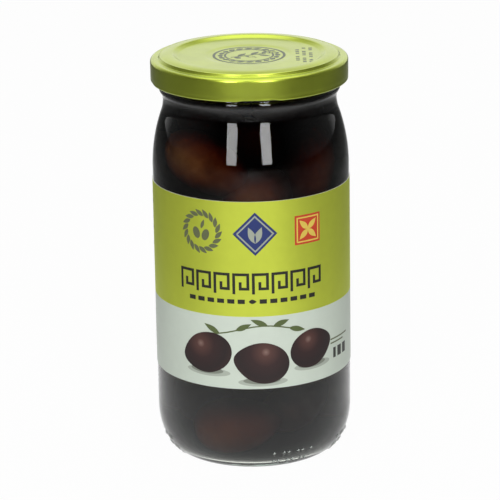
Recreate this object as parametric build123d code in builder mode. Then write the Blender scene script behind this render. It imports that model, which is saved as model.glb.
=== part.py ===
"""Shut glass jar of olives in brine: glass jar, twist-off lid, wrap-around label and brine.

Millimetres. +Z is up, the origin is at the centre of the base, and the jar stands on z = 0.
The label's front faces -Y. The olives lie inside the brine and have no solids of their own.
"""

from build123d import *
import math
import os

# ---- Overall sizes ----
finish_radius = 29.9  # outside of the glass that the lid goes over
rim_height = 136.9  # sealing surface, above the base
shoulder_width = 3.2  # the body's radius beyond the finish

# ---- Glass jar: body and heel ----
glass_wall = 2.3
heel_width = 8.1  # from the bearing ring's outer edge out to the body
heel_height = 15.3  # where the rounded heel meets the straight body
bearing_width = 2.2  # the flat ring that the jar stands on
push_up = 1.8  # rise of the hollow under the base, at its centre
floor_thickness = 2.8  # glass between the bearing ring and the inner floor
floor_crown = 1.2  # rise of the inner floor at its centre
dome_halfway = 0.75  # share of a shallow dome's rise that is left halfway out

# ---- Glass jar: shoulder, waist, bead and finish ----
shoulder_sweep = 56.8  # radius of the shoulder's long convex curve
waist_sweep = 12.3  # radius of the hollow curve that ends it
waist_below_rim = 14.3
waist_depth = 0.8  # the waist's radius within the finish
bead_proud = 0.45  # the bead's radius beyond the finish
bead_rise = 4.1  # from the waist up to the bead's widest place
bead_convex_share = 0.27  # of the two radii of the bead's curve; the rest is the hollow
finish_wall = 2.6
rim_round = 0.9
thread_depth = 1.4
thread_height = 1.5
thread_arc = 46.0  # degrees

# ---- Twist-off lid ----
lid_metal = 0.3
skirt_clearance = 2.8  # from the finish to the skirt's inside
crest_above_rim = 1.1  # from the sealing surface to the top of the ring over it
lid_height = 9.1  # from the curled edge to the ring's top
corner_round = 1.1
ledge_drop = 1.5  # from the ring's top down to the ledge round it
channel_clearance = 0.05  # from the finish to the inside of the raised ring
step_wall = 0.15  # plan width of metal and sealing ring beside the finish
step_slope_width = 0.3
step_foot_round = 0.35
ring_width = 4.7  # plan width of the raised ring's rounded top
ring_fall = 0.55  # from its top to its outer edge
panel_recess = 1.0  # the panel lies this far below the ring's top
panel_slope_width = 1.0
button_radius = 13.5  # safety button, drawn down by the vacuum
button_drop = 0.25
button_edge_width = 1.0
lining_overlap = 0.9  # of the sealing ring on the underside, past the mouth's edge
curl_round = 0.55
lug_count = 4
lug_tip_clearance = 0.5  # from the finish to the lug's tip
lug_height = 1.1
lug_lift = 0.3  # from the curled edge to the lug's underside
lug_arc = 22.0  # degrees
lug_azimuth = 5.0  # degrees past straight ahead, of the first lug
lug_clearance = 0.1  # below the glass thread
notch_height = 0.35  # the curled edge rises this much at each lug

# ---- Paper label ----
label_thickness = 0.13
label_glue = 0.02
label_bottom = 30.7
label_height = 64.9
label_gap = 5.0  # between the label's two ends, along the glass
label_gap_azimuth = 108.0

# ---- Contents ----
headspace = 6.5  # from the brine's level up to the rim

# ---- Worked out from the above ----
front = -90.0  # azimuth that the label faces, degrees about +Z from +X
body_radius = finish_radius + shoulder_width
inner_radius = body_radius - glass_wall
bearing_radius = body_radius - heel_width
bearing_inner = bearing_radius - bearing_width
waist_height = rim_height - waist_below_rim
waist_radius = finish_radius - waist_depth
bead_radius = finish_radius + bead_proud
mouth_radius = finish_radius - finish_wall
brine_level = rim_height - headspace

lid_top = rim_height + crest_above_rim
lid_edge = lid_top - lid_height
ledge_top = lid_top - ledge_drop
skirt_inside = finish_radius + skirt_clearance
lid_radius = skirt_inside + lid_metal
channel_inside = finish_radius + channel_clearance
step_radius = channel_inside + step_wall
lug_bottom = lid_edge + lug_lift
thread_bottom = lug_bottom + lug_height + lug_clearance
lug_azimuths = [front + lug_azimuth + turn * 360 / lug_count for turn in range(lug_count)]


def radial_plane(azimuth):
    """Sketch plane through the jar's axis: its x points outward at azimuth, its y up."""
    angle = math.radians(azimuth)
    return Plane(
        origin=(0, 0, 0),
        x_dir=(math.cos(angle), math.sin(angle), 0),
        z_dir=(math.sin(angle), -math.cos(angle), 0),
    )


def arc_band(azimuth, arc, inner, outer, bottom, height, mode=Mode.ADD):
    """Level band of rectangular section, arc degrees long, centred on azimuth."""
    with BuildSketch(radial_plane(azimuth - arc / 2)) as section:
        with Locations((inner, bottom)):
            Rectangle(outer - inner, height, align=(Align.MIN, Align.MIN))
    revolve(section.sketch, axis=Axis.Z, revolution_arc=arc, mode=mode)


def shoulder_curve(wide, narrow, convex, hollow, start_height):
    """Wall outline from start_height up the straight body and the shoulder to the waist."""
    turn = math.acos(1 - (wide - narrow) / (convex + hollow))
    rise = (convex + hollow) * math.sin(turn)
    degrees = math.degrees(turn)
    Line((wide, start_height), (wide, waist_height - rise))
    CenterArc((wide - convex, waist_height - rise), convex, 0, degrees)
    CenterArc((narrow + hollow, waist_height), hollow, 180 + degrees, -degrees)


def bead_curve():
    """Outline from the waist over the rounded bead to the straight finish above it."""
    turn = 2 * math.atan((bead_radius - waist_radius) / bead_rise)
    both_rounds = bead_rise / math.sin(turn)
    convex = both_rounds * bead_convex_share
    hollow = both_rounds - convex
    end_turn = math.acos(1 - bead_proud / convex)
    bead_height = waist_height + bead_rise
    CenterArc((waist_radius + hollow, waist_height), hollow, 180, -math.degrees(turn))
    CenterArc(
        (bead_radius - convex, bead_height),
        convex,
        -math.degrees(turn),
        math.degrees(turn + end_turn),
    )
    Line(
        (finish_radius, bead_height + convex * math.sin(end_turn)),
        (finish_radius, rim_height - rim_round),
    )


def cavity_curve(top):
    """Outline of the jar's inside from the middle of its floor up to the height top."""
    heel_top = heel_height + glass_wall
    ThreePointArc(
        (0, floor_thickness + floor_crown),
        (bearing_inner / 2, floor_thickness + floor_crown * dome_halfway),
        (bearing_inner, floor_thickness),
    )
    EllipticalCenterArc(
        (bearing_inner, heel_top),
        inner_radius - bearing_inner,
        heel_top - floor_thickness,
        start_angle=-90,
        arc_size=90,
    )
    shoulder_curve(
        inner_radius,
        mouth_radius,
        shoulder_sweep - glass_wall,
        waist_sweep + glass_wall,
        heel_top,
    )
    Line((mouth_radius, waist_height), (mouth_radius, top))


# ---- Jar ----
with BuildPart() as jar:
    with BuildSketch(Plane.XZ):
        with BuildLine():
            ThreePointArc((0, push_up), (bearing_inner / 2, push_up * dome_halfway), (bearing_inner, 0))
            Line((bearing_inner, 0), (bearing_radius, 0))
            EllipticalCenterArc(
                (bearing_radius, heel_height),
                heel_width,
                heel_height,
                start_angle=-90,
                arc_size=90,
            )
            shoulder_curve(body_radius, waist_radius, shoulder_sweep, waist_sweep, heel_height)
            bead_curve()
            CenterArc((finish_radius - rim_round, rim_height - rim_round), rim_round, 0, 90)
            Line((finish_radius - rim_round, rim_height), (mouth_radius + rim_round, rim_height))
            CenterArc((mouth_radius + rim_round, rim_height - rim_round), rim_round, 90, 90)
            cavity_curve(rim_height - rim_round)
            Line((0, floor_thickness + floor_crown), (0, push_up))
        make_face()
    revolve(axis=Axis.Z)
    for azimuth in lug_azimuths:
        arc_band(
            azimuth,
            thread_arc,
            finish_radius - thread_depth / 2,
            finish_radius + thread_depth,
            thread_bottom,
            thread_height,
        )
jar.part.label = "jar"

# ---- Lid ----
ring_inside = step_radius - ring_width
ring_sweep = (ring_width**2 + ring_fall**2) / (2 * ring_fall)
ring_turn = math.degrees(math.asin(ring_width / ring_sweep))
panel_radius = ring_inside - panel_slope_width
panel_top = lid_top - panel_recess
button_top = panel_top - button_drop
step_foot = step_radius + step_slope_width
button_foot = button_radius + button_edge_width
curl_height = lid_edge + curl_round
curl_inside = lid_radius - 2 * curl_round
corner_radius = lid_radius - corner_round
corner_height = ledge_top - corner_round

with BuildPart() as lid:
    with BuildSketch(Plane.XZ):
        with BuildLine():
            Polyline(
                (0, button_top),
                (button_radius, button_top),
                (button_foot, panel_top),
                (panel_radius, panel_top),
                (ring_inside, lid_top),
            )
            CenterArc((ring_inside, lid_top - ring_sweep), ring_sweep, 90, -ring_turn)
            Line(
                (step_radius, lid_top - ring_fall),
                (step_foot, ledge_top + step_foot_round),
            )
            CenterArc(
                (step_foot + step_foot_round, ledge_top + step_foot_round),
                step_foot_round,
                180,
                90,
            )
            Line((step_foot + step_foot_round, ledge_top), (corner_radius, ledge_top))
            CenterArc((corner_radius, corner_height), corner_round, 90, -90)
            Line((lid_radius, corner_height), (lid_radius, curl_height))
            CenterArc((lid_radius - curl_round, curl_height), curl_round, 0, -180)
            Polyline(
                (curl_inside, curl_height),
                (skirt_inside, curl_height + curl_round),
                (skirt_inside, corner_height),
            )
            CenterArc((corner_radius, corner_height), corner_round - lid_metal, 0, 90)
            Polyline(
                (corner_radius, ledge_top - lid_metal),
                (channel_inside, ledge_top - lid_metal),
                (channel_inside, rim_height),
                (mouth_radius - lining_overlap, rim_height),
                (mouth_radius - lining_overlap, lid_top - lid_metal),
                (ring_inside + lid_metal / 2, lid_top - lid_metal),
                (panel_radius + lid_metal / 2, panel_top - lid_metal),
                (button_foot, panel_top - lid_metal),
                (button_radius, button_top - lid_metal),
                (0, button_top - lid_metal),
                (0, button_top),
            )
        make_face()
    revolve(axis=Axis.Z)
    for azimuth in lug_azimuths:
        arc_band(
            azimuth,
            lug_arc,
            finish_radius + lug_tip_clearance,
            skirt_inside,
            lug_bottom,
            lug_height,
        )
        arc_band(
            azimuth,
            lug_arc,
            curl_inside,
            lid_radius + curl_round,
            lid_edge - curl_round,
            curl_round + notch_height,
            mode=Mode.SUBTRACT,
        )
lid.part.label = "lid"

# ---- Label ----
label_inside = body_radius + label_glue
label_outside = label_inside + label_thickness
gap_arc = math.degrees(label_gap / label_outside)

with BuildPart() as label:
    arc_band(
        label_gap_azimuth + 180,
        360 - gap_arc,
        label_inside,
        label_outside,
        label_bottom,
        label_height,
    )
label.part.label = "label"

# ---- Brine ----
with BuildPart() as brine:
    with BuildSketch(Plane.XZ):
        with BuildLine():
            cavity_curve(brine_level)
            Polyline(
                (mouth_radius, brine_level),
                (0, brine_level),
                (0, floor_thickness + floor_crown),
            )
        make_face()
    revolve(axis=Axis.Z)
brine.part.label = "brine"

os.makedirs("parts", exist_ok=True)
export_step(jar.part, "parts/jar.step")
export_step(lid.part, "parts/lid.step")
export_step(label.part, "parts/label.step")
export_step(brine.part, "parts/brine.step")
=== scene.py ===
"""Looks of a shut glass jar of olives in brine: glass, brine, olives, lid, label and its print.

Outlines and places are in millimetres and become metres (MM) when a mesh is made.
+Z is up and the label's front faces -Y. An azimuth is in degrees to the right of that front.
"""

import math

import bmesh
import bpy
import numpy as np
from mathutils import Matrix, Vector


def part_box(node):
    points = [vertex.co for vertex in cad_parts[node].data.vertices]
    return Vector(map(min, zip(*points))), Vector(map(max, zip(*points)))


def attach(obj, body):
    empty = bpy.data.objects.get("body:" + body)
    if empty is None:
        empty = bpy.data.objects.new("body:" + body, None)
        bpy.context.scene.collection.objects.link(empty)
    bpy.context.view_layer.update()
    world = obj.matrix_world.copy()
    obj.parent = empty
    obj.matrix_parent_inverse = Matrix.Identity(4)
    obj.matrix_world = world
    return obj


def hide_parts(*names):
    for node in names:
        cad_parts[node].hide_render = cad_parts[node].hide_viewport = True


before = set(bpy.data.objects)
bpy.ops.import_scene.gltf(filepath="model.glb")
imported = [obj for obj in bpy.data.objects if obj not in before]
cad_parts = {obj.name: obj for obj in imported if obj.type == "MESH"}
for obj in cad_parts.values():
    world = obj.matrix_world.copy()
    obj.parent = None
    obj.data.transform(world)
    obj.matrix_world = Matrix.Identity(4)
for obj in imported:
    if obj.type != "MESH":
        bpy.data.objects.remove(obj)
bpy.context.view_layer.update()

MM = 0.001

# ---- Sizes read from the frame ----
JAR_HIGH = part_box("jar")[1] / MM
LID_LOW, LID_HIGH = (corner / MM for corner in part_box("lid"))
LABEL_LOW, LABEL_HIGH = (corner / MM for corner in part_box("label"))
BRINE_LOW, BRINE_HIGH = (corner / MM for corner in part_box("brine"))
BODY_RADIUS = JAR_HIGH.x
RIM_HEIGHT = JAR_HIGH.z
INNER_RADIUS = BRINE_HIGH.x
FLOOR_HEIGHT = BRINE_LOW.z
BRINE_LEVEL = BRINE_HIGH.z
LID_RADIUS = LID_HIGH.x
LID_EDGE = LID_LOW.z
LID_TOP = LID_HIGH.z

# ---- Glass, as in the CAD part ----
GLASS_WALL = BODY_RADIUS - INNER_RADIUS
HEEL_WIDTH = 8.1
HEEL_HEIGHT = 15.3
BEARING_WIDTH = 2.2
PUSH_UP = 1.8
FLOOR_CROWN = 1.2
SHOULDER_SWEEP = 56.8
WAIST_SWEEP = 12.3
FINISH_RADIUS = 29.9
FINISH_WALL = 2.6
WAIST_HEIGHT = RIM_HEIGHT - 14.3
WAIST_RADIUS = FINISH_RADIUS - 0.8
BEAD_PROUD = 0.45
BEAD_RISE = 4.1
BEAD_CONVEX_SHARE = 0.27
RIM_ROUND = 0.9
FINISH_START = 128.2  # height where the straight finish starts above the bead
THREAD_DEPTH = 1.4
THREAD_BEVEL = 0.3
THREAD_HEIGHT = 1.5
THREAD_ARC = 46.0
MOUTH_RADIUS = FINISH_RADIUS - FINISH_WALL
BEARING_RADIUS = BODY_RADIUS - HEEL_WIDTH

# ---- Lid ----
LID_METAL = 0.3
LUG_COUNT = 4
LUG_AZIMUTH = 5.0
LUG_ARC = 22.0
LUG_TIP_RADIUS = FINISH_RADIUS + 0.5
NOTCH_HEIGHT = 0.35
LUG_LIFT = 0.3
LUG_HEIGHT = 1.1
PANEL_TOP = LID_TOP - 1.0
BUTTON_DROP = 0.25
BUTTON_RADIUS = 13.5
PANEL_EDGE = 23.4  # where the panel turns up into the ring
PANEL_ROUND = 1.4
RING_INSIDE = 25.85
RING_ROUND = 1.0
RING_MIDDLE = 26.2
RING_CROWN = 10.2  # radius of the ring's nearly flat top
RING_OUTSIDE = FINISH_RADIUS + 0.2
RING_EDGE_ROUND = 0.62
LEDGE = LID_TOP - 1.5
LEDGE_HOLLOW = 0.42
SKIRT_ROUND = 1.1
SKIRT_START = 1.5  # height of the straight skirt above the curled edge's bottom
CURL_RADIUS = 0.55
SEAL_WIDTH = 0.9

# ---- Label ----
LABEL_RADIUS = BODY_RADIUS + 0.15
LABEL_THICKNESS = 0.13
LABEL_STEPS = 360
LABEL_BEVEL = 0.03
LABEL_SPLIT = 56.1  # height where the lime field ends and the white one starts
LABEL_GAP = 5.0
LABEL_GAP_AZIMUTH = 198.0
INK_THICKNESS = 0.02

TURNS = 384  # steps round the jar


# ==== Meshes ====
def arc(centre, radius, start, sweep, steps):
    """Points on an arc in the (r, z) plane; angles in degrees, radius a number or (rx, rz)."""
    rx, rz = radius if isinstance(radius, tuple) else (radius, radius)
    angles = np.radians(np.linspace(start, start + sweep, steps + 1))
    return [(centre[0] + rx * math.cos(a), centre[1] + rz * math.sin(a)) for a in angles]


def line(start, end, step=2.0):
    """Points along a straight run, about step apart."""
    count = max(1, round(math.dist(start, end) / step))
    return [tuple(np.array(start) + (np.array(end) - np.array(start)) * i / count)
            for i in range(count + 1)]


def joined(*runs):
    """One outline from several runs, without the doubled points where they meet."""
    outline = []
    for run in runs:
        for point in run:
            if not outline or math.dist(outline[-1], point) > 1e-4:
                outline.append(point)
    return outline


def new_object(name, verts, faces, materials, face_materials=None, smooth=True):
    """Object of a mesh whose points are in millimetres."""
    mesh = bpy.data.meshes.new(name)
    mesh.from_pydata([tuple(v) for v in np.asarray(verts) * MM], [], faces)
    for material in materials:
        mesh.materials.append(material)
    if face_materials is not None:
        mesh.polygons.foreach_set("material_index", np.asarray(face_materials, dtype=np.int32))
    mesh.validate()
    tidy = bmesh.new()
    tidy.from_mesh(mesh)
    bmesh.ops.recalc_face_normals(tidy, faces=tidy.faces)
    tidy.to_mesh(mesh)
    tidy.free()
    if smooth:
        mesh.shade_smooth()
    piece = bpy.data.objects.new(name, mesh)
    bpy.context.scene.collection.objects.link(piece)
    return piece


def lathe(name, outline, materials, material_of=None, shape=None, turns=TURNS):
    """Solid of revolution. Points at r = 0 are poles; shape may move the points it is given."""
    outline = np.array(outline)
    azimuths = np.linspace(0, 2 * math.pi, turns, endpoint=False)
    verts, rows = [], []
    for r, z in outline:
        if r < 1e-6:
            rows.append([len(verts)] * turns)
            verts.append((0.0, 0.0, z))
            continue
        radii, heights = np.full(turns, r), np.full(turns, z)
        if shape is not None:
            radii, heights = shape(azimuths, radii, heights)
        rows.append(list(range(len(verts), len(verts) + turns)))
        verts.extend(zip(radii * np.sin(azimuths), -radii * np.cos(azimuths), heights))
    faces, face_materials = [], []
    for low, high in zip(range(len(rows)), range(1, len(rows))):
        index = material_of(*((outline[low] + outline[high]) / 2)) if material_of else 0
        for i in range(turns):
            j = (i + 1) % turns
            corners = [rows[low][i], rows[low][j], rows[high][j], rows[high][i]]
            face = [v for k, v in enumerate(corners) if v != corners[k - 1]]
            if len(face) > 2:
                faces.append(face)
                face_materials.append(index)
    return new_object(name, verts, faces, materials, face_materials)


def window(azimuths, centres, width, soft):
    """1 inside each of the arcs of the given width (degrees), 0 outside, soft at the ends."""
    weight = np.zeros_like(azimuths)
    for centre in centres:
        off = np.abs((np.degrees(azimuths) - centre + 180) % 360 - 180)
        weight = np.maximum(weight, np.clip((width / 2 + soft / 2 - off) / soft, 0, 1))
    return weight * weight * (3 - 2 * weight)


LUG_AZIMUTHS = [LUG_AZIMUTH + 360 / LUG_COUNT * turn for turn in range(LUG_COUNT)]


# ==== Materials ====
def linear(red, green, blue):
    """Scene colour of a display colour given in 0 to 255."""
    def channel(value):
        value /= 255
        return value / 12.92 if value <= 0.04045 else ((value + 0.055) / 1.055) ** 2.4
    return channel(red), channel(green), channel(blue), 1.0


def new_material(name):
    """Material and its empty list of nodes."""
    material = bpy.data.materials.new(name)
    material.use_nodes = True
    nodes = material.node_tree.nodes
    nodes.clear()
    return material, nodes


def link(output, socket):
    output.id_data.links.new(output, socket)


def node(nodes, kind, **values):
    """New node; a value's name is an input's, or an attribute's if no input has it.

    A value that is another node's output is linked.
    """
    made = nodes.new(kind)
    for key, value in values.items():
        label = key.replace("_", " ")
        if label not in made.inputs:
            setattr(made, key, value)
        elif isinstance(value, bpy.types.NodeSocket):
            link(value, made.inputs[label])
        else:
            made.inputs[label].default_value = value
    return made


def noise(nodes, scale, detail=3.0, roughness=0.5):
    """Noise in object space; scale is in features per metre."""
    place = node(nodes, "ShaderNodeTexCoord").outputs["Object"]
    texture = node(nodes, "ShaderNodeTexNoise", Vector=place, Scale=scale, Detail=detail,
                   Roughness=roughness)
    return texture.outputs["Fac"]


def ramp(nodes, source, stops):
    """Colour ramp; stops are (place, colour)."""
    made = node(nodes, "ShaderNodeValToRGB", Fac=source)
    elements = made.color_ramp.elements
    while len(elements) < len(stops):
        elements.new(0.5)
    for element, (place, colour) in zip(elements, stops):
        element.position = place
        element.color = colour
    return made.outputs["Color"]


def bump(nodes, source, distance, strength):
    """Normal of a fine relief; distance is in metres."""
    made = node(nodes, "ShaderNodeBump", Height=source, Distance=distance, Strength=strength)
    return made.outputs["Normal"]


def combine(nodes, operation, *sources):
    """Math node over numbers and other nodes' outputs."""
    made = node(nodes, "ShaderNodeMath", operation=operation)
    for socket, source in zip(made.inputs, sources):
        if isinstance(source, float):
            socket.default_value = source
        else:
            link(source, socket)
    return made.outputs["Value"]


def spread(nodes, source, start, end, low=0.0, high=1.0):
    """Turns start to end of the source into low to high, and stops there."""
    made = node(nodes, "ShaderNodeMapRange", Value=source, From_Min=start, From_Max=end,
                To_Min=low, To_Max=high)
    return made.outputs["Result"]


def blend(nodes, share, first, second):
    """Colour that goes from the first to the second as share goes from 0 to 1."""
    return node(nodes, "ShaderNodeMixRGB", Fac=share, Color1=first, Color2=second).outputs["Color"]


def mixed(nodes, share, first, second):
    """Shader that goes from the first to the second as share goes from 0 to 1."""
    mix = node(nodes, "ShaderNodeMixShader", Fac=share)
    link(first, mix.inputs[1])
    link(second, mix.inputs[2])
    return mix.outputs["Shader"]


def shade(colour, factor):
    """The colour, lighter or darker by a factor."""
    return colour[0] * factor, colour[1] * factor, colour[2] * factor, 1.0


def clouds(nodes, colour, scale, detail, share):
    """The colour with cloudy lighter and darker places, by the share given."""
    stops = [(0.3, shade(colour, 1 - share)), (0.7, shade(colour, 1 + share))]
    return ramp(nodes, noise(nodes, scale, detail), stops)


def principled(nodes, **values):
    """Principled shader that is the material's surface."""
    shader = node(nodes, "ShaderNodeBsdfPrincipled", **values)
    node(nodes, "ShaderNodeOutputMaterial", Surface=shader.outputs["BSDF"])


def paper(name, colour, roughness=0.42, mottle=0.05, metallic=0.0):
    """Coated paper or ink on it: faint cloudy mottle, fibre relief and a low gloss."""
    material, nodes = new_material(name)
    principled(
        nodes,
        Roughness=roughness,
        Metallic=metallic,
        Base_Color=clouds(nodes, colour, 260.0, 4.0, mottle),
        Normal=bump(nodes, noise(nodes, 2600.0), 0.00001, 0.5),
    )
    return material


def clear(name, ior, tint, absorption=None, mirror=1.0, wavy=False):
    """Clear solid that lets the lamps through; absorption is (colour, density per metre).

    A mirror of 0 leaves out the reflection where glass meets liquid, which hardly reflects.
    A wavy one has the slight unevenness of a blown jar.
    """
    material, nodes = new_material(name)
    shader = node(
        nodes,
        "ShaderNodeBsdfPrincipled",
        Base_Color=tint,
        Roughness=0.0,
        IOR=ior,
        Transmission_Weight=1.0,
        Specular_Tint=(mirror, mirror, mirror, 1.0),
    )
    if wavy:
        link(bump(nodes, noise(nodes, 55.0, 1.0), 0.00012, 0.5), shader.inputs["Normal"])
    lamp_ray = node(nodes, "ShaderNodeLightPath").outputs["Is Shadow Ray"]
    let_through = node(nodes, "ShaderNodeBsdfTransparent").outputs["BSDF"]
    surface = mixed(nodes, lamp_ray, shader.outputs["BSDF"], let_through)
    output = node(nodes, "ShaderNodeOutputMaterial", Surface=surface)
    if absorption is not None:
        volume = node(nodes, "ShaderNodeVolumeAbsorption", Color=absorption[0], Density=absorption[1])
        link(volume.outputs["Volume"], output.inputs["Volume"])
    return material


def glass_material(name, absorption, mirror):
    return clear(name, 1.5, (0.92, 1.0, 0.94, 1.0), absorption, mirror, wavy=True)


def brine_material():
    """Dark brine: red goes furthest in it, then green."""
    white, red_brown = (1.0, 1.0, 1.0, 1.0), (0.60, 0.20, 0.0, 1.0)
    return clear("brine_liquid", 1.34, white, (red_brown, 520.0), 0.0)


def olive_material():
    """Cured olive skin: dark red-brown with paler patches and fine pits."""
    material, nodes = new_material("olive_skin")
    skin = ramp(nodes, noise(nodes, 95.0, 4.0, 0.6), [
        (0.30, (0.065, 0.036, 0.016, 1.0)),
        (0.55, (0.105, 0.064, 0.027, 1.0)),
        (0.75, (0.150, 0.100, 0.045, 1.0)),
    ])
    pits = bump(nodes, noise(nodes, 900.0, 2.0), 0.0001, 0.4)
    principled(nodes, Roughness=0.4, Specular_IOR_Level=0.0, Base_Color=skin, Normal=pits)
    return material


def lid_material():
    """Lime-gold lacquer over bright tinplate."""
    material, nodes = new_material("lid_lacquer")
    principled(
        nodes,
        Metallic=0.9,
        Coat_Weight=0.4,
        Coat_Roughness=0.06,
        Base_Color=clouds(nodes, linear(190, 206, 70), 120.0, 3.0, 0.06),
        Roughness=spread(nodes, noise(nodes, 420.0, 4.0), 0.0, 1.0, 0.26, 0.32),
        Normal=bump(nodes, noise(nodes, 1500.0, 2.0), 0.00002, 0.3),
    )
    return material


# ==== Glass jar ====
def shoulder(wide, narrow, convex, hollow, start_height):
    """Wall from start_height up the straight body and the shoulder to the waist."""
    turn = math.acos(1 - (wide - narrow) / (convex + hollow))
    rise = (convex + hollow) * math.sin(turn)
    degrees = math.degrees(turn)
    return joined(
        line((wide, start_height), (wide, WAIST_HEIGHT - rise), 4.0),
        arc((wide - convex, WAIST_HEIGHT - rise), convex, 0, degrees, 14),
        arc((narrow + hollow, WAIST_HEIGHT), hollow, 180 + degrees, -degrees, 6),
    )


def bead():
    """Rounded ridge between the waist and the finish."""
    turn = 2 * math.atan((BEAD_PROUD + FINISH_RADIUS - WAIST_RADIUS) / BEAD_RISE)
    both_rounds = BEAD_RISE / math.sin(turn)
    convex = both_rounds * BEAD_CONVEX_SHARE
    hollow = both_rounds - convex
    end_turn = math.acos(1 - BEAD_PROUD / convex)
    degrees = math.degrees(turn)
    return joined(
        arc((WAIST_RADIUS + hollow, WAIST_HEIGHT), hollow, 180, -degrees, 6),
        arc(
            (FINISH_RADIUS + BEAD_PROUD - convex, WAIST_HEIGHT + BEAD_RISE),
            convex,
            -degrees,
            degrees + math.degrees(end_turn),
            8,
        ),
    )


THREAD_BOTTOM = LID_EDGE + LUG_LIFT + LUG_HEIGHT + 0.1
THREAD_TOP = THREAD_BOTTOM + THREAD_HEIGHT
THREAD_RADIUS = FINISH_RADIUS + THREAD_DEPTH


def cavity(top, proud=0.0):
    """Outline of the cavity from its floor's middle up to top; proud reaches into the glass."""
    heel_top = HEEL_HEIGHT + GLASS_WALL
    bearing_inner = BEARING_RADIUS - BEARING_WIDTH
    floor_sag = (bearing_inner**2 + FLOOR_CROWN**2) / (2 * FLOOR_CROWN)
    floor_turn = math.degrees(math.asin(bearing_inner / floor_sag))
    floor_centre = (0.0, FLOOR_HEIGHT + FLOOR_CROWN - floor_sag)
    return joined(
        arc(floor_centre, floor_sag - proud, 90, -floor_turn, 10),
        arc(
            (bearing_inner, heel_top),
            (INNER_RADIUS - bearing_inner + proud, heel_top - FLOOR_HEIGHT + proud),
            -90,
            90,
            18,
        ),
        shoulder(
            INNER_RADIUS + proud,
            MOUTH_RADIUS + proud,
            SHOULDER_SWEEP - GLASS_WALL,
            WAIST_SWEEP + GLASS_WALL,
            heel_top,
        ),
        line((MOUTH_RADIUS + proud, WAIST_HEIGHT), (MOUTH_RADIUS + proud, top)),
    )


def jar_shape(azimuths, radii, heights):
    """Thread ribs on the finish and the slight unevenness of blown glass outside."""
    r, z = radii[0], heights[0]
    if r > FINISH_RADIUS and THREAD_BOTTOM - 0.1 < z < THREAD_TOP + 0.1:
        ribs = window(azimuths, LUG_AZIMUTHS, THREAD_ARC, 6.0)
        return FINISH_RADIUS + (r - FINISH_RADIUS) * ribs, heights
    if r > INNER_RADIUS and z < WAIST_HEIGHT:
        wave = np.sin(3 * azimuths + z / 17) + 0.7 * np.sin(7 * azimuths - z / 9 + 1.3)
        return radii + 0.02 * wave, heights
    return radii, heights


def jar_outside():
    """Outline of the glass from the push-up's middle, up the outside, to the rim's inner edge."""
    bearing_inner = BEARING_RADIUS - BEARING_WIDTH
    push_sag = (bearing_inner**2 + PUSH_UP**2) / (2 * PUSH_UP)
    push_turn = math.degrees(math.asin(bearing_inner / push_sag))
    bevel = THREAD_BEVEL
    return joined(
        arc((0.0, PUSH_UP - push_sag), push_sag, 90, -push_turn, 10),
        line((bearing_inner, 0.0), (BEARING_RADIUS, 0.0), 0.6),
        arc((BEARING_RADIUS, HEEL_HEIGHT), (HEEL_WIDTH, HEEL_HEIGHT), -90, 90, 24),
        shoulder(BODY_RADIUS, WAIST_RADIUS, SHOULDER_SWEEP, WAIST_SWEEP, HEEL_HEIGHT),
        bead(),
        line((FINISH_RADIUS, FINISH_START), (FINISH_RADIUS, THREAD_BOTTOM - bevel)),
        [(THREAD_RADIUS - bevel, THREAD_BOTTOM), (THREAD_RADIUS, THREAD_BOTTOM + bevel)],
        [(THREAD_RADIUS, THREAD_TOP - bevel), (THREAD_RADIUS - bevel, THREAD_TOP)],
        line((FINISH_RADIUS, THREAD_TOP + bevel), (FINISH_RADIUS, RIM_HEIGHT - RIM_ROUND)),
        arc((FINISH_RADIUS - RIM_ROUND, RIM_HEIGHT - RIM_ROUND), RIM_ROUND, 0, 90, 6),
        arc((MOUTH_RADIUS + RIM_ROUND, RIM_HEIGHT - RIM_ROUND), RIM_ROUND, 90, 90, 6),
    )


def wetted(r, z):
    """1 where the brine wets the glass at (r, z), 0 elsewhere; a margin splits inside from outside."""
    outer = z < FLOOR_HEIGHT - 0.1 or r > INNER_RADIUS + 0.05
    if z > HEEL_HEIGHT + GLASS_WALL:
        outer = r > inner_wall(z) + 0.05
    elif z > FLOOR_HEIGHT - 0.1:
        outer = r > inner_wall(z) + 0.3
    return 1 if not outer and z < BRINE_LEVEL else 0


def make_jar():
    absorption = ((0.0, 0.5, 0.25, 1.0), 7.0)
    materials = [glass_material("glass_outside", absorption, 1.0), glass_material("glass_wetted", None, 0.0)]
    outline = joined(jar_outside(), cavity(RIM_HEIGHT - RIM_ROUND)[::-1])
    piece = lathe("jar_glass", outline, materials, wetted, jar_shape)
    finish_piece(piece, "glass", "jar")


INNER_OUTLINE = np.array(cavity(RIM_HEIGHT))


def inner_wall(z):
    """Radius of the cavity at height z."""
    rising = INNER_OUTLINE[INNER_OUTLINE[:, 0] > BEARING_RADIUS - BEARING_WIDTH - 1e-6]
    return float(np.interp(z, rising[:, 1], rising[:, 0]))


def finish_piece(piece, slot, *nodes):
    """Puts a piece on the body and hides the CAD parts it stands for; slot is not used."""
    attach(piece, "root")
    if nodes:
        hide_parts(*nodes)


HEEL_MARKS = ((-68.0, 5, 3), (24.0, 9, 2), (70.0, 6, 3))  # azimuth, columns and rows
MARK_SINK = 0.15
MARK_PROUD = 0.35
MARK_HALF_WIDTH = 0.55
MARK_HALF_HEIGHT = 0.95
MARK_SPACING = 3.1  # degrees round the jar
MARK_FIRST_DROP = 0.62  # radians down the heel's round
MARK_DROP_STEP = 0.30
MARK_LEVELS = 4
MARK_SIDES = 12


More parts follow.
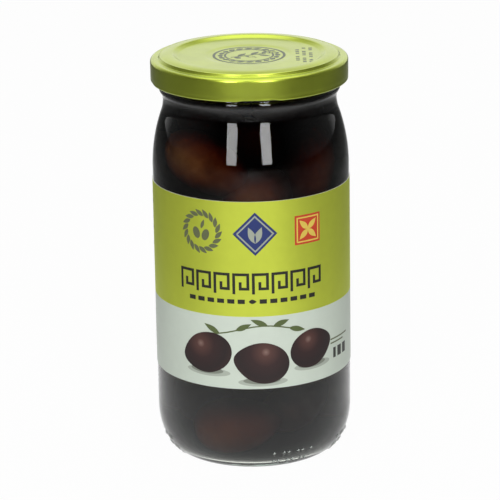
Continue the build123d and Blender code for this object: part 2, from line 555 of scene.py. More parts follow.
def add_heel_mark(azimuth, drop, verts, faces):
    """Adds one rounded bump at an azimuth, drop radians down the heel's round."""
    turn = math.radians(azimuth)
    slope = math.atan2(HEEL_WIDTH * math.sin(drop), HEEL_HEIGHT * math.cos(drop))
    out = np.array([math.sin(turn), -math.cos(turn), 0.0])
    side = np.array([math.cos(turn), math.sin(turn), 0.0])
    normal = out * math.cos(slope) - np.array([0, 0, math.sin(slope)])
    upward = np.cross(side, normal) * -1
    radius = BEARING_RADIUS + HEEL_WIDTH * math.cos(drop)
    height = HEEL_HEIGHT - HEEL_HEIGHT * math.sin(drop)
    foot = out * radius + np.array([0, 0, height]) - normal * MARK_SINK
    peak = normal * (MARK_SINK + MARK_PROUD)
    base = len(verts)
    for level in range(MARK_LEVELS):
        polar = math.pi / 2 * level / MARK_LEVELS
        for step in range(MARK_SIDES):
            around = 2 * math.pi * step / MARK_SIDES
            across = side * math.cos(around) * MARK_HALF_WIDTH
            along = across + upward * math.sin(around) * MARK_HALF_HEIGHT
            verts.append(foot + along * math.cos(polar) + peak * math.sin(polar))
    top = len(verts)
    verts += [foot + peak, foot]
    for step in range(MARK_SIDES):
        after = (step + 1) % MARK_SIDES
        for low in range(base, top - MARK_SIDES, MARK_SIDES):
            high = low + MARK_SIDES
            faces.append((low + step, low + after, high + after, high + step))
        last = top - MARK_SIDES
        faces.append((last + step, last + after, top))
        faces.append((base + after, base + step, top + 1))


def make_heel_marks():
    """Mould marks low on the heel: raised dots in three groups, each third one left out."""
    verts, faces = [], []
    for azimuth, columns, rows in HEEL_MARKS:
        for column in range(columns):
            for row in range(rows):
                if (column * 2 + row) % 3 < 2:
                    place = azimuth + MARK_SPACING * (column - (columns - 1) / 2)
                    add_heel_mark(place, MARK_FIRST_DROP + MARK_DROP_STEP * row, verts, faces)
    glass = clear("heel_marks", 1.5, (0.97, 1.0, 0.98, 1.0))
    finish_piece(new_object("heel_marks", verts, faces, [glass]), "glass")


# ==== Brine and olives ====
BRINE_REACH = 0.12  # how far the brine reaches into the glass


def make_brine():
    outline = joined(
        cavity(BRINE_LEVEL, BRINE_REACH),
        line((MOUTH_RADIUS + BRINE_REACH, BRINE_LEVEL), (0.0, BRINE_LEVEL), 4.0),
    )
    piece = lathe("brine_liquid", outline, [brine_material()], turns=192)
    finish_piece(piece, "brine", "brine")


# Olives that lie against the glass in front: azimuth and height of the middle, depth of the
# middle within the wall, heading of the long axis (degrees up from level, to the right),
# lean of its right end towards the axis, length and width.
FRONT_OLIVES = [
    (-37.5, 103.8, 10.0, -19.0, 0.0, 32.0, 17.5),
    (8.0, 95.0, 11.6, 12.0, 20.0, 24.0, 17.0),
    (56.0, 101.5, 11.2, 62.0, 0.0, 26.0, 18.0),
    (-15.0, 14.2, 11.3, 10.0, 0.0, 28.0, 18.0),
    (36.0, 37.5, 10.0, 10.0, 0.0, 25.0, 16.0),
    (47.0, 19.0, 15.0, 20.0, 0.0, 24.0, 16.0),
]
FILL_COUNT = 40
FILL_SEED = 7
FILL_HEIGHTS = (14, 122)
FILL_RADIUS = 22
FILL_LENGTHS = (22, 27)
FILL_WIDTHS = (15.5, 18.5)
PACKING_STEPS = 420
TURN_RESISTANCE = 160
WALL_CLEAR = 0.4
LEVEL_CLEAR = 1.0
FLOOR_CLEAR = 1.5
FLOOR_FLAT_RADIUS = 16  # beyond it the olives' floor rises with the heel
FLOOR_SLOPE = 0.55
WALL_START = 12  # lowest height at which the wall's radius is read
FRONT_CLEAR = 8.0  # other olives stay this far from the glass where the front shows it
FRONT_AZIMUTH = 100  # the front reaches this far to each side
SHOWN_ABOVE, SHOWN_BELOW = 88, 42  # heights near the label's edges, past which the front shows in
SPHERE_PLACES = (-0.52, 0.0, 0.52)  # an olive as three spheres, in half lengths
SPHERE_SIZES = (0.82, 1.0, 0.8)  # in half widths


def front_olive(azimuth, height, depth, heading, lean):
    """Middle and long axis of an olive placed against the glass."""
    angle, tilt, inward = (math.radians(v) for v in (azimuth, heading, lean))
    out = np.array([math.sin(angle), -math.cos(angle), 0.0])
    right = np.array([math.cos(angle), math.sin(angle), 0.0])
    axis = math.cos(tilt) * (math.cos(inward) * right - math.sin(inward) * out)
    middle = out * (inner_wall(height) - depth) + np.array([0, 0, height])
    return middle, axis + np.array([0, 0, math.sin(tilt)])


def loose_olives():
    """Middles, axes and sizes of the other olives before they are packed."""
    draw = np.random.default_rng(FILL_SEED)
    centres, axes, sizes = [], [], []
    for _ in range(FILL_COUNT):
        height = draw.uniform(*FILL_HEIGHTS)
        angle = draw.uniform(0, 2 * math.pi)
        radius = FILL_RADIUS * math.sqrt(draw.uniform(0, 1))
        centres.append(np.array([radius * math.cos(angle), radius * math.sin(angle), height]))
        axes.append(draw.normal(size=3))
        sizes.append((draw.uniform(*FILL_LENGTHS), draw.uniform(*FILL_WIDTHS)))
    return centres, axes, sizes


def push_apart(points, radii, owner):
    """Push on each sphere from the spheres of other olives that it overlaps."""
    gaps = points[:, None] - points[None, :]
    distances = np.linalg.norm(gaps, axis=2) + 1e-6
    together = radii[:, None] + radii[None, :]
    other = owner[:, None] != owner[None, :]
    overlap = np.where(other, np.clip(together - distances, 0, None), 0)
    return (gaps / distances[:, :, None] * overlap[:, :, None]).sum(1) * 0.5


def keep_inside(push, points, radii):
    """Adds to push what keeps the spheres off the wall, the floor and the brine's level."""
    heights = points[:, 2]
    radial = np.linalg.norm(points[:, :2], axis=1) + 1e-6
    wall = np.array([inner_wall(z) for z in np.clip(heights, WALL_START, RIM_HEIGHT)])
    off_front = np.abs(np.degrees(np.arctan2(points[:, 0], -points[:, 1])))
    shown = (off_front < FRONT_AZIMUTH) & ((heights > SHOWN_ABOVE) | (heights < SHOWN_BELOW))
    limit = wall - radii - np.where(shown, FRONT_CLEAR, WALL_CLEAR)
    excess = np.clip(radial - limit, 0, None)
    push[:, :2] -= points[:, :2] / radial[:, None] * excess[:, None]
    floor = FLOOR_HEIGHT + FLOOR_CLEAR + np.clip(radial - FLOOR_FLAT_RADIUS, 0, None) * FLOOR_SLOPE
    push[:, 2] += np.clip(floor + radii - heights, 0, None)
    push[:, 2] -= np.clip(heights + radii + LEVEL_CLEAR - BRINE_LEVEL, 0, None)


def settle_olives():
    """Centres, axes, lengths and widths: the front olives as placed, the rest packed round them."""
    placed = [front_olive(*olive[:5]) for olive in FRONT_OLIVES]
    centres, axes, sizes = loose_olives()
    centres = np.array([middle for middle, _ in placed] + centres)
    axes = np.array([axis for _, axis in placed] + axes)
    sizes = np.array([olive[5:] for olive in FRONT_OLIVES] + sizes)
    axes /= np.linalg.norm(axes, axis=1)[:, None]
    owner = np.repeat(np.arange(len(centres)), 3)
    reach = (sizes[:, :1] / 2 * np.array(SPHERE_PLACES)).ravel()
    radii = (sizes[:, 1:] / 2 * np.array(SPHERE_SIZES)).ravel()
    for _ in range(PACKING_STEPS):
        points = centres[owner] + axes[owner] * reach[:, None]
        push = push_apart(points, radii, owner)
        keep_inside(push, points, radii)
        for index in range(len(placed), len(centres)):
            own = slice(index * 3, index * 3 + 3)
            centres[index] += push[own].mean(0)
            turn = np.cross(axes[index] * reach[own][:, None], push[own]).sum(0)
            axes[index] += np.cross(turn / TURN_RESISTANCE, axes[index])
            axes[index] /= np.linalg.norm(axes[index])
    return centres, axes, sizes


def olive_mesh(length, width, draw):
    """An olive along +X about its middle: blunt at one end, drawn out to a tip at the other."""
    rings, sides = 22, 26
    bend, lobe = draw.uniform(0.3, 1.0), draw.uniform(0, 2 * math.pi)
    verts, faces = [(-length / 2, 0.0, 0.0)], []
    for ring in range(1, rings):
        along = -math.cos(math.pi * ring / rings)
        girth = math.sqrt(1 - along * along) * (1 - 0.16 * along)
        if along > 0.55:
            girth *= 1 - 0.5 * ((along - 0.55) / 0.45) ** 2 * 0.6
        for side in range(sides):
            angle = 2 * math.pi * side / sides
            swell = 1 + 0.018 * math.cos(2 * angle + lobe) + 0.012 * math.cos(3 * angle - lobe)
            radius = girth * width / 2 * swell
            verts.append((
                along * length / 2,
                radius * math.cos(angle) + bend * (1 - along * along) * 0.6,
                radius * math.sin(angle),
            ))
    verts.append((length / 2 + 0.25, 0.0, 0.0))
    for side in range(sides):
        after = (side + 1) % sides
        faces.append((0, 1 + after, 1 + side))
        for ring in range(rings - 2):
            base = 1 + ring * sides
            faces.append((base + side, base + after, base + sides + after, base + sides + side))
        base = 1 + (rings - 2) * sides
        faces.append((base + side, base + after, len(verts) - 1))
    return np.array(verts), faces


def make_olives():
    centres, axes, sizes = settle_olives()
    draw = np.random.default_rng(FILL_SEED + 1)
    verts, faces = [], []
    for centre, axis, (length, width) in zip(centres, axes, sizes):
        points, quads = olive_mesh(length, width, draw)
        roll = Matrix.Rotation(draw.uniform(0, 2 * math.pi), 3, "X")
        turn = Vector(axis).to_track_quat("X", "Z").to_matrix() @ roll
        base = len(verts)
        verts.extend(points @ np.array(turn).T + centre)
        faces.extend(tuple(base + v for v in quad) for quad in quads)
    piece = new_object("olives", verts, faces, [olive_material()])
    finish_piece(piece, "brine")


# ==== Lid ====
def lid_shape(azimuths, radii, heights):
    """Lugs turned in from the curled edge, which rises a little where they are."""
    lugs = window(azimuths, LUG_AZIMUTHS, LUG_ARC, 5.0)
    lug_root, notch_top = LID_RADIUS - 0.6, LID_EDGE + 1.6
    r, z = radii[0], heights[0]
    if r < lug_root and z < LID_EDGE + LUG_LIFT + LUG_HEIGHT + 0.01:
        share = (lug_root - r) / 0.5
        radii = radii - (LID_RADIUS - 2 * CURL_RADIUS - LUG_TIP_RADIUS) * share * lugs
        heights = heights + LUG_LIFT * lugs
    elif z < notch_top:
        heights = heights + NOTCH_HEIGHT * lugs * np.clip((notch_top - z) / 1.6, 0, 1)
    return radii, heights


def lid_top():
    """Outline of the lid from its middle to the start of the skirt, outside."""
    button = PANEL_TOP - BUTTON_DROP
    return joined(
        line((0.0, button), (BUTTON_RADIUS - 0.6, button), 2.5),
        [(BUTTON_RADIUS - 0.1, button + 0.03)],
        [(BUTTON_RADIUS + 0.5, PANEL_TOP - BUTTON_DROP / 2)],
        [(BUTTON_RADIUS + 1.1, PANEL_TOP - 0.03)],
        line((BUTTON_RADIUS + 1.6, PANEL_TOP), (PANEL_EDGE, PANEL_TOP), 2.2),
        arc((PANEL_EDGE, PANEL_TOP + PANEL_ROUND), PANEL_ROUND, -90, 40, 5),
        arc((RING_INSIDE, LID_TOP - RING_ROUND), RING_ROUND, 140, -50, 5),
        arc((RING_MIDDLE, LID_TOP - RING_CROWN), RING_CROWN, 90, -19, 8),
        arc((RING_OUTSIDE - 0.75, LID_TOP - RING_ROUND), RING_EDGE_ROUND, 55, -45, 5),
        arc((RING_OUTSIDE + RING_EDGE_ROUND, LEDGE + LEDGE_HOLLOW), LEDGE_HOLLOW, 190, 80, 5),
        line((RING_OUTSIDE + 0.9, LEDGE), (LID_RADIUS - SKIRT_ROUND, LEDGE), 0.5),
        arc((LID_RADIUS - SKIRT_ROUND, LEDGE - SKIRT_ROUND), SKIRT_ROUND, 90, -90, 10),
    )


def lid_skirt():
    """Outline down the skirt's outside, round the curled edge and up the inside."""
    inside, start, end = LID_RADIUS - LID_METAL, LID_EDGE + SKIRT_START, LEDGE - SKIRT_ROUND
    return joined(
        line((LID_RADIUS, end), (LID_RADIUS, start), 0.8),
        [(LID_RADIUS - 0.06, LID_EDGE + 1.15)],
        arc((LID_RADIUS - CURL_RADIUS, LID_EDGE + CURL_RADIUS), CURL_RADIUS, 10, -200, 12),
        [(inside - 0.3, LID_EDGE + 2 * CURL_RADIUS)],
        line((inside, start), (inside, end), 1.0),
        arc((LID_RADIUS - SKIRT_ROUND, end), SKIRT_ROUND - LID_METAL, 0, 90, 5),
    )


def lid_underside():
    """Outline under the top, from the skirt back to the middle, round the sealing ring."""
    seal_outside, seal_inside = FINISH_RADIUS + 0.05, MOUTH_RADIUS - SEAL_WIDTH
    return joined(
        [(seal_outside, LEDGE - LID_METAL), (seal_outside, RIM_HEIGHT)],
        [(seal_inside, RIM_HEIGHT), (seal_inside, LID_TOP - LID_METAL)],
        [(RING_INSIDE - LID_METAL, LID_TOP - LID_METAL), (24.55, PANEL_TOP - LID_METAL)],
        [(BUTTON_RADIUS + 1.0, PANEL_TOP - LID_METAL)],
        [(BUTTON_RADIUS, PANEL_TOP - BUTTON_DROP - LID_METAL)],
        [(0.0, PANEL_TOP - BUTTON_DROP - LID_METAL)],
    )


def make_lid():
    outline = joined(lid_top(), lid_skirt(), lid_underside())
    piece = lathe("lid_metal", outline, [lid_material()], shape=lid_shape)
    piece.data.set_sharp_from_angle(angle=math.radians(50))
    finish_piece(piece, "lid_paint", "lid")


# ==== Label ====
def make_label():
    """Paper shell with a lime field above a white one, and a gap behind."""
    half_gap = math.degrees(LABEL_GAP / LABEL_RADIUS) / 2
    start = LABEL_GAP_AZIMUTH + half_gap - 360
    azimuths = np.radians(np.linspace(start, LABEL_GAP_AZIMUTH - half_gap, LABEL_STEPS))
    bottom, top = LABEL_LOW.z, LABEL_HIGH.z
    outside, inside = LABEL_RADIUS, LABEL_RADIUS - LABEL_THICKNESS
    section = [
        (inside, bottom), (outside - LABEL_BEVEL, bottom), (outside, bottom + LABEL_BEVEL),
        (outside, LABEL_SPLIT),
        (outside, top - LABEL_BEVEL), (outside - LABEL_BEVEL, top), (inside, top),
    ]
    # White core at the cut edges, white field, lime field, core again, bare back.
    kinds = [2, 2, 1, 0, 2, 2, 2]
    verts = [(r * math.sin(a), -r * math.cos(a), z) for a in azimuths for r, z in section]
    faces, face_materials = [], []
    count = len(section)
    for step in range(len(azimuths) - 1):
        for k in range(count):
            after = (k + 1) % count
            base, ahead = step * count, (step + 1) * count
            faces.append((base + k, ahead + k, ahead + after, base + after))
            face_materials.append(kinds[k])
    faces.append(tuple(range(count)))
    faces.append(tuple(range(len(verts) - count, len(verts))))
    face_materials += [2, 2]
    piece = new_object(
        "label_paper",
        verts,
        faces,
        [
            paper("label_lime", linear(214, 226, 80), 0.5, mottle=0.02, metallic=0.7),
            paper("label_white", linear(206, 216, 203), mottle=0.015),
            paper("paper_core", linear(235, 235, 228)),
        ],
        face_materials,
    )
    piece.data.set_sharp_from_angle(angle=math.radians(30))
    finish_piece(piece, "label_paper", "label")


# ==== Print: flat shapes in (along, up) millimetres, wrapped round the label or laid on the lid ====
INK_STEP = 0.8  # widest strip of ink between two cuts, so that it bends with the label
LIFT = 0.04  # how far one ink stands over another


def ellipse(x, y, rx, ry=None, turn=0.0, steps=48):
    """Ellipse about (x, y), or a circle if ry is left out."""
    ry = rx if ry is None else ry
    c, s = math.cos(math.radians(turn)), math.sin(math.radians(turn))
    points = []
    for i in range(steps):
        a = 2 * math.pi * i / steps
        u, v = rx * math.cos(a), ry * math.sin(a)
        points.append((x + u * c - v * s, y + u * s + v * c))
    return points


def bar(x, y, width, height):
    """Rectangle with its lower left corner at (x, y)."""
    return [(x, y), (x + width, y), (x + width, y + height), (x, y + height)]


def leaf(x, y, length, width, turn):
    """Pointed leaf from its stalk at (x, y) along turn degrees."""
    c, s = math.cos(math.radians(turn)), math.sin(math.radians(turn))
    upper = [(t, width / 2 * math.sin(math.pi * t**0.85)) for t in np.linspace(0, 1, 14)]
    lower = [(t, -w) for t, w in upper[-2:0:-1]]
    return [(x + t * length * c - w * s, y + t * length * s + w * c) for t, w in upper + lower]


def stroke(points, width):
    """Band of constant width along an open line, mitred at its corners."""
    points = [np.array(p, float) for p in points]
    left, right = [], []
    for i, point in enumerate(points):
        before = points[i] - points[i - 1] if i else points[1] - points[0]
        after = points[i + 1] - point if i + 1 < len(points) else before
        before, after = before / np.linalg.norm(before), after / np.linalg.norm(after)
        normal = np.array([-(before + after)[1], (before + after)[0]])
        normal /= np.linalg.norm(normal)
        side = normal * width / 2 / max(0.4, abs(np.dot(normal, [-after[1], after[0]])))
        left.append(tuple(point + side))
        right.append(tuple(point - side))
    return left + right[::-1]


def flat_solid(name, shapes, thickness):
    """Thin solid of closed shapes; one inside another is a hole."""
    curve = bpy.data.curves.new(name, "CURVE")
    curve.dimensions = "2D"
    curve.fill_mode = "BOTH"
    curve.extrude = thickness / 2 * MM
    for shape in shapes:
        spline = curve.splines.new("POLY")
        spline.points.add(len(shape) - 1)
        spline.points.foreach_set("co", [c for x, y in shape for c in (x * MM, y * MM, 0, 1)])
        spline.use_cyclic_u = True
    holder = bpy.data.objects.new(name, curve)
    bpy.context.scene.collection.objects.link(holder)
    bpy.context.view_layer.update()
    mesh = bpy.data.meshes.new_from_object(holder)
    bpy.data.objects.remove(holder)
    bpy.data.curves.remove(curve)
    return mesh


def printed(name, shapes, material, lift=0.0, lid_height=None):
    """Ink on the label, or on the lid at lid_height; lift raises one ink over another."""
    mesh = flat_solid(name, shapes, INK_THICKNESS)
    work = bmesh.new()
    work.from_mesh(mesh)
    bmesh.ops.remove_doubles(work, verts=work.verts, dist=1e-7)
    if lid_height is None:
        low = min(v.co.x for v in work.verts)
        high = max(v.co.x for v in work.verts)
        cut = low + INK_STEP * MM
        while cut < high:
            everything = list(work.verts) + list(work.edges) + list(work.faces)
            bmesh.ops.bisect_plane(work, geom=everything, plane_co=(cut, 0, 0), plane_no=(1, 0, 0))
            cut += INK_STEP * MM
    for vert in work.verts:
        above = vert.co.z + (INK_THICKNESS / 2 + lift) * MM
        if lid_height is None:
            angle = vert.co.x / (LABEL_RADIUS * MM)
            radius = LABEL_RADIUS * MM + above
            vert.co = Vector((radius * math.sin(angle), -radius * math.cos(angle), vert.co.y))
        else:
            vert.co = Vector((vert.co.x, vert.co.y, lid_height * MM + above))
    bmesh.ops.recalc_face_normals(work, faces=work.faces)
    work.to_mesh(mesh)
    work.free()
    mesh.materials.clear()
    mesh.materials.append(material)
    piece = bpy.data.objects.new(name, mesh)
    bpy.context.scene.collection.objects.link(piece)
    finish_piece(piece, "label_paper" if lid_height is None else "lid_paint")


def ring(x, y, outer, inner):
    """Round band."""
    return [ellipse(x, y, outer), ellipse(x, y, inner)]


def lozenge(x, y, half):
    """Square that stands on a corner."""
    return [(x - half, y), (x, y + half), (x + half, y), (x, y - half)]


def sprig(x, y, size, turn):
    """Olive sprig: a stalk, paired leaves and two fruits; size is the stalk's length."""
    c, s = math.cos(math.radians(turn)), math.sin(math.radians(turn))

    def at(along, across):
        return x + size * (along * c - across * s), y + size * (along * s + across * c)

    def bend(along):
        return 0.10 * math.sin(2.6 * along)

    stalk = [at(t, bend(t)) for t in np.linspace(-0.5, 0.46, 12)]
    shapes = [stroke(stalk, 0.055 * size)]
    for t, side in ((-0.3, 1), (-0.12, -1), (0.06, 1), (0.24, -1), (0.36, 1)):
        root = at(t, bend(t) + side * 0.05)
        shapes.append(leaf(*root, 0.36 * size, 0.13 * size, turn + side * 42))
    shapes.append(leaf(*at(0.5, 0.1), 0.3 * size, 0.11 * size, turn + 8))
    for t, side in ((-0.34, -1), (0.04, -1)):
        shapes.append(ellipse(*at(t, side * 0.2), 0.1 * size, 0.075 * size, turn - 60))
    return shapes


def shaded_ink(name, along, up, reach, stops):
    """Ink whose colour runs outward from the lit place (along, up) over reach millimetres."""
    material, nodes = new_material(name)
    angle, radius = along / LABEL_RADIUS, LABEL_RADIUS * MM
    lit = (radius * math.sin(angle), -radius * math.cos(angle), up * MM)
    place = node(nodes, "ShaderNodeTexCoord").outputs["Object"]
    distance = node(nodes, "ShaderNodeVectorMath", operation="DISTANCE")
    link(place, distance.inputs[0])
    distance.inputs[1].default_value = lit
    share = spread(nodes, distance.outputs["Value"], 0.0, reach * MM)
    principled(nodes, Roughness=0.42, Base_Color=ramp(nodes, share, stops))
    return material


def fruit(x, y, length, width, turn, tip=0.22):
    """Outline of an olive seen from the side, drawn out to a tip at its right end."""
    c, s = math.cos(math.radians(turn)), math.sin(math.radians(turn))
    points = []
    for angle in np.linspace(0, 2 * math.pi, 56, endpoint=False):
        along, across = math.cos(angle), math.sin(angle)
        across *= 1 - tip * max(0.0, along) ** 2 - 0.05 * along
        points.append((
            x + along * length / 2 * c - across * width / 2 * s,
            y + along * length / 2 * s + across * width / 2 * c,
        ))
    return points


OLIVE_PICTURES = [  # middle (along, up), length, width, turn and the place of the light
    (-16.5, 42.6, 18.5, 14.0, 196.0, -18.5, 45.6),
    (2.6, 39.8, 19.0, 14.2, 170.0, 4.0, 43.6),
    (20.9, 43.0, 17.0, 13.2, 12.0, 19.2, 46.2),
]


def make_olive_pictures():
    """Three olives in a row below a leafy twig, each over a soft shadow."""
    skin = [
        (0.0, linear(132, 104, 96)),
        (0.10, linear(82, 50, 44)),
        (0.34, linear(46, 22, 22)),
        (0.62, linear(30, 13, 14)),
        (1.0, linear(58, 30, 24)),
    ]
    shadow = paper("ink_shadow", linear(172, 180, 168), mottle=0.01)
    core = paper("ink_shadow_core", linear(128, 134, 122), mottle=0.01)
    for index, (x, y, length, width, turn, lit_x, lit_y) in enumerate(OLIVE_PICTURES):
        low = y - width / 2
        printed(f"print_shadow_{index}", [ellipse(x + 0.4, low + 0.4, length * 0.44, 1.5)], shadow)
        printed(f"print_shadow_core_{index}", [ellipse(x, low + 0.9, length * 0.33, 1.2)], core, 0.02)
        ink = shaded_ink(f"ink_olive_{index}", lit_x, lit_y, length * 0.8, skin)
        printed(f"print_olive_{index}", [fruit(x, y, length, width, turn)], ink, LIFT)
    make_twig()


TWIG_HEIGHT = 51.2
TWIG_LEAVES = ((-11.5, 152), (-6.0, 24), (4.8, 158), (6.6, 18), (12.0, -14))  # place along, turn


def make_twig():
    """Wavy twig with five leaves over the pictured olives."""
    def wave(along):
        return TWIG_HEIGHT + 1.6 * math.sin((along + 6.0) / 6.0)

    twig = stroke([(along, wave(along)) for along in range(-15, 16, 3)], 0.45)
    leaves = []
    for step, (along, turn) in enumerate(TWIG_LEAVES):
        leaves.append(leaf(along, wave(along), 6.2 - 0.4 * (step % 2), 1.9, turn))
    green = paper("ink_leaf", linear(86, 100, 54))
    printed("print_twig", [twig], green)
    printed("print_twig_leaves", leaves, green, LIFT)


def key_pattern(start, low, count, unit, tall, pen):
    """Open Greek key, count times along."""
    shapes = []
    inner, left = unit * 0.72, unit * 0.33
    for step in range(count):
        x = start + step * unit
        shapes.append(stroke([
            (x, low), (x, low + tall), (x + inner, low + tall), (x + inner, low + tall * 0.27),
            (x + left, low + tall * 0.27), (x + left, low + tall * 0.62),
        ], pen))
    return shapes


SIGN_HEIGHT = 84.6  # middle of the three signs at the top of the label
EDGE_PEN = 0.5


def make_wreath(ink, x=-17.5, y=SIGN_HEIGHT, radius=5.4):
    """Ring of slanting leaves round two olives."""
    leaves = []
    for turn in range(0, 360, 20):
        a = math.radians(turn)
        leaves.append(leaf(x + radius * math.cos(a), y + radius * math.sin(a), 3.6, 1.5, turn + 66))
    printed("print_wreath", leaves, ink)
    pair = [ellipse(x - 1.8, y - 0.6, 1.3, 2.0, 18), ellipse(x + 1.6, y - 1.0, 1.3, 2.0, -20)]
    printed("print_wreath_olives", pair + [leaf(x, y + 1.0, 3.4, 1.2, 70)], ink)


def make_lozenge(ground, ink, x=1.0, y=SIGN_HEIGHT, half=7.4, inset=1.4):
    """Square on its corner, with an inner edge and two leaves."""
    printed("print_lozenge", [lozenge(x, y, half)], ground)
    edge = lozenge(x, y, half - inset)
    printed("print_lozenge_edge", [stroke(edge + edge[:1], EDGE_PEN)], ink, LIFT)
    pair = [leaf(x, y - 3.2, 6.0, 2.3, turn) for turn in (68, 112)]
    printed("print_lozenge_leaves", pair, ink, LIFT)


def make_tile(ground, ink, x=19.5, y=SIGN_HEIGHT, half=5.0, inset=0.9):
    """Upright square with an inner edge and four leaves."""
    printed("print_tile", [bar(x - half, y - half, 2 * half, 2 * half)], ground)
    side = half - inset
    edge = bar(x - side, y - side, 2 * side, 2 * side)
    printed("print_tile_edge", [stroke(edge + edge[:1], EDGE_PEN)], ink, LIFT)
    leaves = [leaf(x, y, 4.6, 1.9, turn) for turn in (45, 135, 225, 315)]
    printed("print_tile_leaves", leaves, ink, LIFT)


def make_bands(ink):
    """Greek key band, and below it a row of dashes with a leaf in its middle."""
    printed("print_key_pattern", key_pattern(-25.8, 63.9, 8, 6.5, 6.8, 0.95), ink)
    pitch, low = 3.5, 60.6
    rule = [bar(start + pitch * k, low, 2.4, 1.5) for start in (-22.6, 2.2) for k in range(6)]
    printed("print_rule", rule + [leaf(-1.4, low + 0.75, 2.6, 1.5, 0)], ink)


def make_print():
    grey = paper("ink_grey", linear(98, 104, 72))
    dark = paper("ink_dark", linear(34, 34, 26))
    blue = paper("ink_blue", linear(34, 50, 112))
    silver = paper("ink_silver", linear(160, 166, 152))
    red = paper("ink_red", linear(200, 64, 34))
    yellow = paper("ink_yellow", linear(226, 196, 84))
    make_wreath(grey)
    make_lozenge(blue, silver)
    make_tile(red, yellow)
    make_bands(dark)
    make_olive_pictures()
    make_side_print(dark, grey)


LINES_TOP = 90.0
LINES_PITCH = 3.0


def text_lines(start, rows, lengths):
    """Bars like lines of text, downward, with the lengths in turn."""
    return [bar(start, LINES_TOP - LINES_PITCH * row, lengths[row % len(lengths)], 1.1)
            for row in range(rows)]


def make_side_print(dark, grey):
    """Generic marks on both sides and the back: bars like lines of text, a sprig and a panel."""
    marks = [bar(x, 36.6, width, 3.6) for x, width in ((31.0, 1.5), (33.6, 2.4), (37.1, 2.4))]
    printed("print_side_mark", marks, dark)
    printed("print_side_rule", [bar(29.5, 43.2, 11.0, 0.5), bar(29.5, 41.8, 8.0, 0.5)], grey)
    printed("print_back_lines", text_lines(53.0, 9, (27.0, 24.5, 26.0, 21.0)), dark)
    printed("print_back_sprig", sprig(66.0, 43.5, 14.0, 30), grey)
    printed("print_left_lines", text_lines(-75.0, 7, (24.0, 26.5, 20.0)), dark)
    pen, x, y, width, height = 0.6, -74.0, 36.0, 24.0, 13.0
    panel = [bar(x, y, width, height), bar(x + pen, y + pen, width - 2 * pen, height - 2 * pen)]
    printed("print_left_panel", panel, grey)


def make_lid_print():
    """Ring of leaves round a sprig on the button, and rows of small dashes beside it."""
    grey = paper("ink_lid", linear(84, 96, 62), 0.35)
    button = PANEL_TOP - BUTTON_DROP
    shapes = ring(0, 0, 12.2, 11.3) + ring(0, 0, 8.4, 7.7) + sprig(0, 0, 13.0, 12)
    radius, back = 9.9, 1.2
    for turn in range(0, 360, 18):
        c, s = math.cos(math.radians(turn)), math.sin(math.radians(turn))
        shapes.append(leaf(radius * c + back * s, radius * s - back * c, 3.0, 1.8, turn + 105))
    printed("print_lid_wreath", shapes, grey, lid_height=button)
    dashes = [bar(15.5 + row * 2.2, -12.0 + k * 2.4, 1.2, 1.3)
              for row in range(3) for k in range(9) if (k + row) % 4]
    printed("print_lid_dashes", dashes, grey, lid_height=PANEL_TOP)


# ==== Surroundings, lamps and camera ====
FLOOR_HALF = 6000.0
WHITE_SHARE = 0.97  # of the floor; the rest keeps the jar's shadow


def mirror_ray(nodes, path):
    """1 for a ray that a piece reflects or lets through."""
    glossy, through = path.outputs["Is Glossy Ray"], path.outputs["Is Transmission Ray"]
    return combine(nodes, "MAXIMUM", glossy, through)


def floor_material():
    """White floor, also in reflections and refractions, over the stretch near the jar.

    Further to the front and the sides reflections see it darker: painted shade, put in its colour for
    reflected rays only.
    Places are in metres.
    """
    material, nodes = new_material("floor_white")
    place = node(nodes, "ShaderNodeNewGeometry").outputs["Position"]
    parts = node(nodes, "ShaderNodeSeparateXYZ", Vector=place)
    back = parts.outputs["Y"]
    aside = combine(nodes, "ABSOLUTE", parts.outputs["X"])
    # painted shade: reflected rays see the floor darker toward the front and the sides
    dim_front = spread(nodes, back, -0.45, 0.0, 0.38, 0.6)
    dim_side = spread(nodes, aside, 0.06, 0.35, 1.0, 0.3)
    reflection_shade = combine(nodes, "MULTIPLY", dim_front, dim_side)
    path = node(nodes, "ShaderNodeLightPath")
    tint = blend(nodes, path.outputs["Is Glossy Ray"], (0.8, 0.8, 0.8, 1.0), reflection_shade)
    diffuse = node(nodes, "ShaderNodeBsdfDiffuse", Color=tint)
    near_front = spread(nodes, back, -0.2, -0.08)
    near_side = spread(nodes, aside, 0.07, 0.16, 1.0, 0.0)
    near = combine(nodes, "MULTIPLY", near_front, near_side)
    mirrored = combine(nodes, "MULTIPLY", mirror_ray(nodes, path), near)
    seen = combine(nodes, "MAXIMUM", path.outputs["Is Camera Ray"], mirrored)
    share = combine(nodes, "MULTIPLY", seen, WHITE_SHARE)
    glow = node(nodes, "ShaderNodeEmission", Color=(1.0, 1.0, 1.0, 1.0), Strength=1.0)
    surface = mixed(nodes, share, diffuse.outputs["BSDF"], glow.outputs["Emission"])
    node(nodes, "ShaderNodeOutputMaterial", Surface=surface)
    return material


def make_floor():
    far = FLOOR_HALF
    corners = [(-far, -far, 0.0), (far, -far, 0.0), (far, far, 0.0), (-far, far, 0.0)]
    floor = new_object("floor", corners, [(0, 1, 2, 3)], [floor_material()], smooth=False)


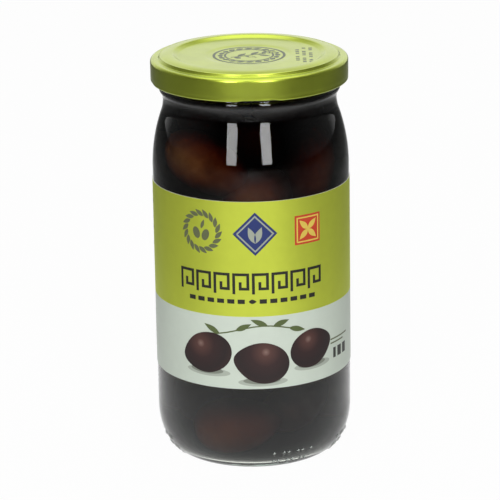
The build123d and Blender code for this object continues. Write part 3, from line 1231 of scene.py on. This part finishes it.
def make_world():
    """Studio that is white to the camera.

    Other rays find it bright behind the jar and overhead, and dark behind the camera.
    """
    world = bpy.data.worlds.new("studio")
    bpy.context.scene.world = world
    world.use_nodes = True
    nodes = world.node_tree.nodes
    nodes.clear()
    direction = node(nodes, "ShaderNodeTexCoord").outputs["Generated"]
    parts = node(nodes, "ShaderNodeSeparateXYZ", Vector=direction)
    around = ramp(nodes, spread(nodes, parts.outputs["Y"], -1.0, 1.0), [
        (0.12, (0.0, 0.0, 0.0, 1.0)),
        (0.40, (0.09, 0.09, 0.09, 1.0)),
        (0.72, (0.13, 0.13, 0.13, 1.0)),
        (0.93, (1.0, 1.0, 1.0, 1.0)),
    ])
    most = combine(nodes, "MAXIMUM", around, spread(nodes, parts.outputs["Z"], 0.6, 0.9))
    path = node(nodes, "ShaderNodeLightPath")
    white = (1.0, 1.0, 1.0, 1.0)
    bright = blend(nodes, mirror_ray(nodes, path), (0.45, 0.46, 0.45, 1.0), white)
    studio = blend(nodes, most, (0.012, 0.012, 0.012, 1.0), bright)
    colour = blend(nodes, path.outputs["Is Camera Ray"], studio, white)
    background = node(nodes, "ShaderNodeBackground", Color=colour, Strength=1.0)
    node(nodes, "ShaderNodeOutputWorld", Surface=background.outputs["Background"])


def strip_light(name, azimuth, elevation, distance, width, height, radiance):
    """Upright or tilted rectangle that faces the jar; radiance is what it looks like head on."""
    aim = Vector((0, 0, 75 * MM))
    angle, up = math.radians(azimuth), math.radians(elevation)
    out = Vector((math.sin(angle) * math.cos(up), -math.cos(angle) * math.cos(up), math.sin(up)))
    lamp = bpy.data.lights.new(name, "AREA")
    lamp.shape = "RECTANGLE"
    lamp.size, lamp.size_y = width, height
    lamp.energy = radiance * math.pi * width * height
    holder = bpy.data.objects.new(name, lamp)
    holder.location = aim + out * distance
    holder.rotation_euler = (-out).to_track_quat("-Z", "Y").to_euler()
    holder.visible_camera = False
    bpy.context.scene.collection.objects.link(holder)


def make_lamps():
    """Two tall strips in front, whose reflections stand in the glass, and a soft one above."""
    strip_light("lamp_left", -23.0, 24.0, 1.6, 0.34, 1.3, 7.0)
    strip_light("lamp_right", 19.0, 24.0, 1.6, 0.34, 1.3, 7.8)
    strip_light("lamp_top", 0.0, 88.0, 1.2, 1.4, 1.4, 0.7)


CAMERA_LENS = 198.0
CAMERA_PLACE = (0.0, -0.8923, 0.3488)
CAMERA_YAW = 0.00084
CAMERA_PITCH = 17.42  # degrees downward
CAMERA_ROLL = -0.0165


def make_camera():
    camera = bpy.data.cameras.new("camera")
    camera.lens = CAMERA_LENS
    camera.sensor_width = 36.0
    holder = bpy.data.objects.new("camera", camera)
    holder.location = CAMERA_PLACE
    down = Matrix.Rotation(math.radians(90) - math.radians(CAMERA_PITCH), 4, "X")
    look = Matrix.Rotation(CAMERA_YAW, 4, "Z") @ down @ Matrix.Rotation(CAMERA_ROLL, 4, "Z")
    holder.rotation_euler = look.to_euler()
    bpy.context.scene.collection.objects.link(holder)
    bpy.context.scene.camera = holder


make_camera()
make_jar()
make_heel_marks()
make_brine()
make_olives()
make_lid()
make_label()
make_print()
make_lid_print()
make_floor()
make_world()
make_lamps()
bpy.context.scene.view_settings.view_transform = "Standard"
